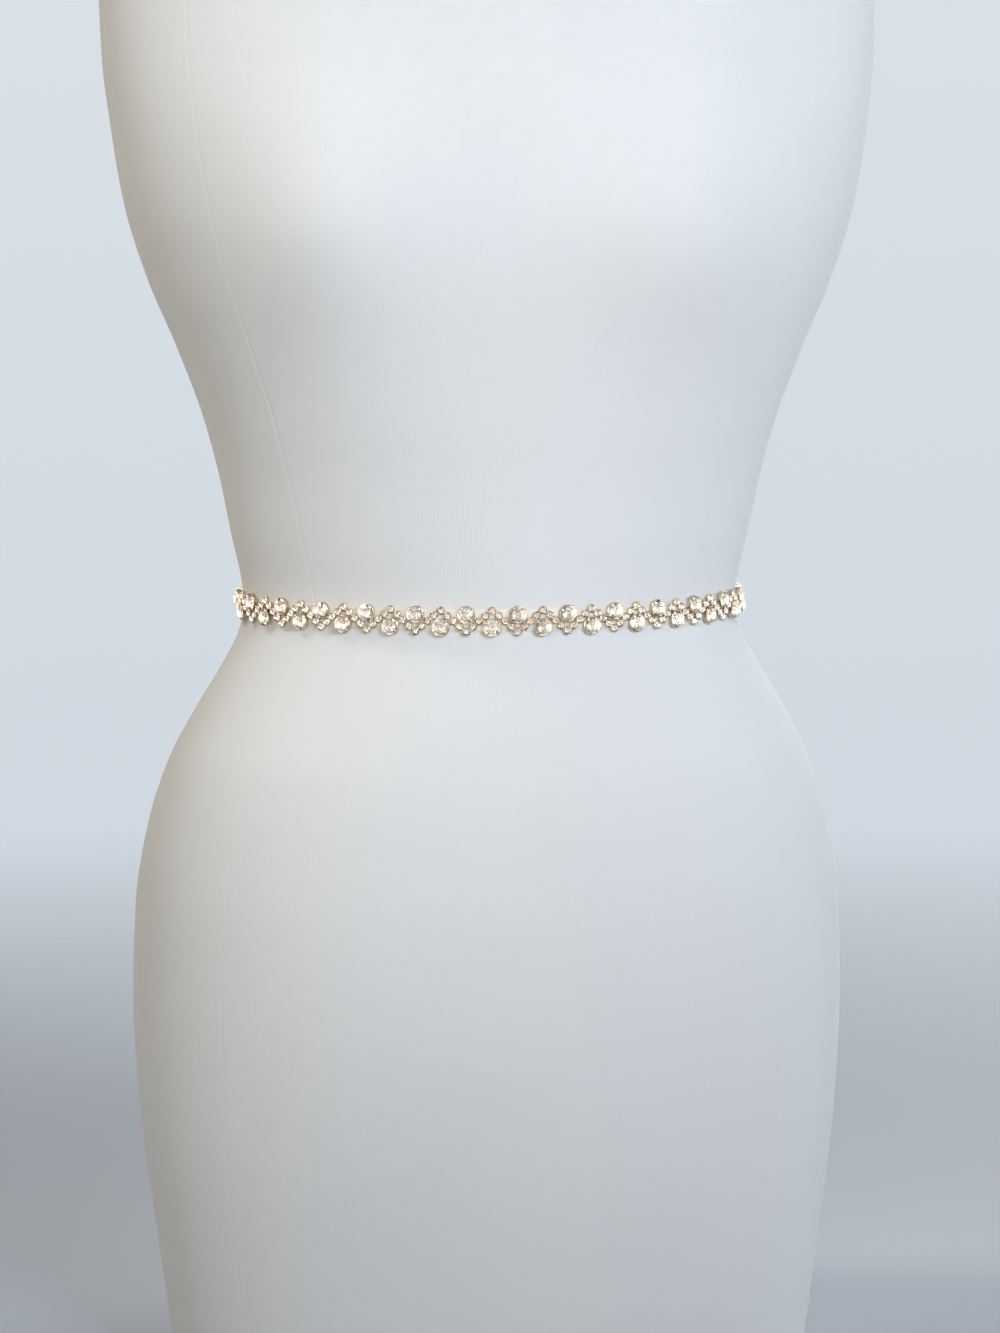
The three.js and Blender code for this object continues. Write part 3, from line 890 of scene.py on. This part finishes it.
def prong_part(size, angle):
    """A claw that rises from the cup's wall and folds over the stone's edge."""
    cup, stone, girdle, crown = size["cup"], size["stone"], size["girdle"], size["crown"]
    scale = 0.55 + 0.45 * (stone - 1.5) / 2.1  # a claw grows less than its stone does
    path = [
        (cup - 0.04, girdle - 0.9 * scale, 0.62),
        (cup + 0.03, girdle - 0.1, 0.6),
        (stone + 0.12 * scale, girdle + 0.3 * crown, 0.5),
        (stone * 0.9, girdle + 0.52 * crown, 0.38),
        (stone * 0.8, girdle + 0.66 * crown, 0.2),
    ]
    shape = [(-1, -0.5), (1, -0.5), (1, 0.1), (0.55, 0.5), (-0.55, 0.5), (-1, 0.1)]
    thick = 0.3 * scale
    centres = np.array([(r, z) for r, z, _ in path])
    tangents = np.gradient(centres, axis=0)
    tangents /= np.linalg.norm(tangents, axis=1, keepdims=True)
    sections = []
    for (r, z, width), (tr, tz) in zip(path, tangents):
        out_r, out_z = tz, -tr
        section = []
        for w, h in shape:
            rr = r + out_r * h * thick
            zz = z + out_z * h * thick
            ww = w * width * scale
            x = rr * math.cos(angle) - ww * math.sin(angle)
            y = rr * math.sin(angle) + ww * math.cos(angle)
            section.append((x, y, zz))
        sections.append(section)
    return loft(sections)


def stone_part(size):
    """A round brilliant: table, star, kite and girdle facets over a foiled pavilion. Material 0 is
    glass, and 1 the foil."""
    r, crown, depth = size["stone"], size["crown"], size["pavilion"]
    table, star, low = 0.55 * r, 0.8 * r, 0.4 * r
    cos_half = math.cos(math.pi / 8)
    star_z = crown * (r - star * cos_half) / (r - table)
    low_z = -depth * (1 - low * cos_half / r)

    def ring(radius, z, count, shift=0.0):
        step = 2 * math.pi / count
        angles = [(k + shift) * step for k in range(count)]
        return [(radius * math.cos(a), radius * math.sin(a), z) for a in angles]

    verts = ring(table, crown, 8) + ring(star, star_z, 8, 0.5) + ring(r, 0.06, 16)
    verts += ring(r, -0.06, 16) + ring(low, low_z, 8, 0.5) + [(0, 0, -depth)]
    t, s, g, h, m, culet = 0, 8, 16, 32, 48, 56
    faces, foil = [list(range(8))], []
    for k in range(8):
        n, p = (k + 1) % 8, (k - 1) % 8
        a, b, c = 2 * k, 2 * k + 1, (2 * k + 2) % 16
        faces.append([t + k, s + k, t + n])
        faces.append([t + k, s + p, g + a, s + k])
        faces.append([s + k, g + a, g + b])
        faces.append([s + k, g + b, g + c])
        faces.append([g + a, h + a, h + b, g + b])
        faces.append([g + b, h + b, h + c, g + c])
        foil.append([culet, m + k, h + a, m + p])
        foil.append([m + k, h + b, h + a])
        foil.append([m + k, h + c, h + b])
    return np.array(verts, float), faces + foil, [0] * len(faces) + [1] * len(foil)


def bar_part(a, b):
    """A short solder bar between two cups' centres."""
    line = np.linspace((*a, BAR_HEIGHT), (*b, BAR_HEIGHT), 2)
    return tube(line, BAR_RADIUS, BAR_SIDES)


def stitch_part(along, up, lean):
    """A loop of thread over a bar."""
    reach, rise = STITCH["reach"], BAR_HEIGHT + BAR_RADIUS + STITCH["over"]
    angles = np.linspace(0, math.pi, 9)
    x = along + reach * np.cos(angles) * math.sin(lean)
    y = up + reach * np.cos(angles) * math.cos(lean)
    z = rise * np.sin(angles) ** 0.7 - STITCH["sink"]
    return tube(np.stack([x, y, z], axis=-1), THREAD_RADIUS, 6)


def unit_place(i):
    """Where unit i stands, counted from -X round the front to +X."""
    s = (i - (UNIT_COUNT - 1) / 2) * UNIT_PITCH + TRIM_SHIFT
    ends = sash_point(np.array([s - 1, s + 1]), 0, np.full(2, TRIM_STAND))
    along = ends[1] - ends[0]
    along /= np.linalg.norm(along)
    out = np.array([along[1], -along[0], 0])
    out /= np.linalg.norm(out)
    place = np.eye(4)
    place[:3, :3] = np.stack([along, np.cross(out, along), out], axis=1)
    place[:3, 3] = sash_point(np.array([s]), 0, np.array([TRIM_STAND]))[0]
    return place


def unit_spots(way, first):
    """The places of a unit's cups by name, as along and up. way is 1 with the large stone up."""
    spots = {
        "large": (0, LARGE_UP * way),
        "left": (-SMALL_ALONG, SMALL_UP * way),
        "right": (SMALL_ALONG, SMALL_UP * way),
        "tip": (0, TIP_UP * way),
        "link": (UNIT_PITCH / 2, 0),
    }
    if first:
        spots["before"] = (-UNIT_PITCH / 2, 0)
    return spots


def add_stones(metal, glass, parts, place, spots, rng):
    """The cups, claws and stones of a unit, with the claws turned and the stones tilted by chance."""
    for name, (along, up) in spots.items():
        kind = "large" if name == "large" else "small"
        cup, prongs, stone, size = parts[kind]
        spin = rng.uniform(-PRONG_SPIN, PRONG_SPIN)
        metal.add(cup, place @ placed(along, up))
        for prong in prongs:
            metal.add(prong, place @ placed(along, up, 0, spin))
        lean = (rng.uniform(-STONE_TILT, STONE_TILT), rng.uniform(-STONE_TILT, STONE_TILT))
        turn = rng.uniform(0, math.pi / 4)
        glass.add(stone, place @ placed(along, up, size["girdle"], turn, lean))


def add_bars(metal, place, way):
    spots = unit_spots(way, True)
    pairs = [("large", "left"), ("large", "right"), ("left", "tip"), ("right", "tip")]
    pairs += [("left", "before"), ("right", "link"), ("large", "before"), ("large", "link")]
    for a, b in pairs:
        metal.add(bar_part(spots[a], spots[b]), place)


def add_stitches(thread, place, way):
    for side in (-1, 1):
        for along, up, lean in STITCH_SPOTS:
            thread.add(stitch_part(side * along, up * way, side * way * lean * STITCH["lean"]), place)


def trim_piece(name, bits, materials, smooth=True):
    verts, faces, indices = bits.part()
    piece = make_piece(name, verts, faces, materials, indices, smooth=smooth)
    if smooth:
        piece.data.set_sharp_from_angle(angle=CREASE)
    return piece


def build_trim():
    rng = random.Random(7)
    corners = [math.radians(45 + 90 * k) for k in range(4)]
    parts = {}
    for kind, size in (("large", LARGE), ("small", SMALL)):
        prongs = [prong_part(size, corner) for corner in corners]
        parts[kind] = cup_part(size, CUP_SIDES[kind]), prongs, stone_part(size), size
    for stretch in range(STRETCHES):
        metal, glass, thread = Bits(), Bits(), Bits()
        for k in range(UNITS_PER_STRETCH):
            i = stretch * UNITS_PER_STRETCH + k
            way = -1 if i % 2 else 1
            place = unit_place(i)
            add_stones(metal, glass, parts, place, unit_spots(way, i == 0), rng)
            add_bars(metal, place, way)
            add_stitches(thread, place, way)
        number = str(stretch + 1)
        node = "trim_stretch_" + number
        dress(trim_piece("settings_" + number, metal, [GOLD]), "trim_gold", node)
        stones = trim_piece("stones_" + number, glass, [CRYSTAL, FOIL], smooth=False)
        dress(stones, "trim_gold", node)
        dress(trim_piece("stitches_" + number, thread, [THREAD]), "ribbon_satin")


# Studio

def build_floor():
    """A pale floor that fades into the backdrop's colour."""
    shader = Shader("studio_floor")
    place = shader.node("NewGeometry").outputs["Position"]
    away = shader.node("VectorMath", {0: place}, operation="LENGTH").outputs["Value"]
    reach = {0: away, 1: FLOOR_FADE[0], 2: FLOOR_FADE[1], 3: 0.0, 4: 1.0}
    fade = shader.node("MapRange", reach, interpolation_type="SMOOTHSTEP").outputs[0]
    dark, pale = FLOOR_COLOURS
    colour = shader.blend(shader.noise(2, 2), rgb(*dark), rgb(*pale))
    shader.set(base_color=colour, roughness=0.95)
    clear = shader.node("BsdfTransparent").outputs[0]
    mixed = shader.node("MixShader", {0: fade, 1: shader.surface.outputs[0], 2: clear}).outputs[0]
    shader.tree.links.new(mixed, shader.tree.nodes["Material Output"].inputs["Surface"])
    shader.material.surface_render_method = "BLENDED"
    angles = np.linspace(0, 2 * math.pi, FLOOR_SIDES, endpoint=False)
    reaches = np.linspace(0.2, FLOOR_RADIUS, FLOOR_RINGS) / MM
    points = [(r * math.cos(a), r * math.sin(a), 0) for r in reaches for a in angles]
    rings = [[low, high, far, near] for low, near, far, high in ring_faces(FLOOR_RINGS, FLOOR_SIDES)]
    faces = [list(range(FLOOR_SIDES))] + rings
    make_piece("studio_floor", points, faces, [shader.material])


def build_world():
    """A pale backdrop that the camera sees, painted darker towards the bottom as painted shade, a weak
    even light, and bright patches for the stones and the metal to mirror."""
    world = bpy.data.worlds.new("studio")
    world.use_nodes = True
    tree = world.node_tree

    def node(kind, inputs=None, **settings):
        made = tree.nodes.new("ShaderNode" + kind)
        for key, value in settings.items():
            setattr(made, key, value)
        for key, value in (inputs or {}).items():
            if isinstance(value, bpy.types.NodeSocket):
                tree.links.new(value, made.inputs[key])
            else:
                made.inputs[key].default_value = value
        return made

    ray = node("LightPath").outputs
    direction = node("TexCoord").outputs["Generated"]
    height = node("SeparateXYZ", {0: direction}).outputs[2]
    # Painted shade: the backdrop the camera sees turns darker towards the bottom.
    climb = node("MapRange", {0: height, 1: BACKDROP_CLIMB[0], 2: BACKDROP_CLIMB[1]}).outputs[0]
    papers = {0: climb, 6: rgb(*BACKDROP_SHADED_LOW), 7: rgb(*BACKDROP_HIGH)}
    paper = node("Mix", papers, data_type="RGBA").outputs[2]
    patch = node("TexNoise", {"Vector": direction, "Scale": GLEAM_SCALE, "Detail": 1.0}).outputs["Fac"]
    rise = {0: patch, 1: GLEAM_EDGE[0], 2: GLEAM_EDGE[1]}
    bright = node("MapRange", rise, interpolation_type="SMOOTHSTEP").outputs[0]
    gleam = node("Mix", {0: bright, 6: GLEAM_DARK, 7: GLEAM_BRIGHT}, data_type="RGBA").outputs[2]
    even = node("Background", {0: AMBIENT_COLOUR, 1: AMBIENT}).outputs[0]
    mirrored = node("Background", {0: gleam, 1: GLEAM}).outputs[0]
    seen = node("Background", {0: paper, 1: 1.0}).outputs[0]
    rays = {0: ray["Is Glossy Ray"], 1: ray["Is Transmission Ray"]}
    sharp = node("Math", rays, operation="MAXIMUM").outputs[0]
    unseen = node("MixShader", {0: sharp, 1: even, 2: mirrored}).outputs[0]
    both = node("MixShader", {0: ray["Is Camera Ray"], 1: unseen, 2: seen}).outputs[0]
    tree.links.new(both, tree.nodes["World Output"].inputs[0])
    bpy.context.scene.world = world


def round_form(where):
    """A point of the camera's frame, turned round the form with the camera."""
    return Matrix.Rotation(-CAMERA_TURN, 3, "Z") @ Vector(where)


def from_waist(place):
    x, y, z = place
    return x, y, WAIST_Z * MM + z


def build_lights():
    for row in LIGHTS:
        light = bpy.data.lights.new(row["name"], "AREA")
        light.shape = "RECTANGLE"
        light.size, light.size_y = row["size"]
        light.energy = row["power"]
        light.color = row["colour"]
        light.spread = math.radians(row["spread"])
        lamp = bpy.data.objects.new(row["name"], light)
        bpy.context.scene.collection.objects.link(lamp)
        lamp.location = round_form(from_waist(row["where"]))
        target = round_form(from_waist(row["target"]))
        lamp.rotation_euler = (target - lamp.location).to_track_quat("-Z", "Y").to_euler()


def build_camera():
    """The camera of the photograph: far off, a little above the waist, with the waist at its pixel."""
    data = bpy.data.cameras.new("camera")
    data.sensor_width = SENSOR
    data.lens = SENSOR * CAMERA_DISTANCE / (PHOTO_HEIGHT * PIXEL_SIZE)
    data.clip_end = 50
    camera = bpy.data.objects.new("camera", data)
    bpy.context.scene.collection.objects.link(camera)
    distance = CAMERA_DISTANCE * MM
    right_of = (PHOTO_WIDTH / 2 - WAIST_PIXEL[0]) * PIXEL_SIZE * MM
    above = (PHOTO_HEIGHT / 2 - WAIST_PIXEL[1]) * PIXEL_SIZE * MM
    waist = WAIST_Z * MM
    back, rise = distance * math.cos(CAMERA_RISE), distance * math.sin(CAMERA_RISE)
    camera.location = round_form((0, -back, waist + rise))
    pitch = CAMERA_RISE + math.atan(above / distance)
    yaw = -CAMERA_TURN - math.atan(right_of / distance)
    camera.rotation_euler = (math.pi / 2 - pitch, 0, yaw)
    bpy.context.scene.camera = camera


bpy.context.scene.view_settings.view_transform = "Standard"
build_camera()
build_form()
build_ribbons()
build_knot()
build_tails()
build_trim()
build_floor()
build_world()
build_lights()
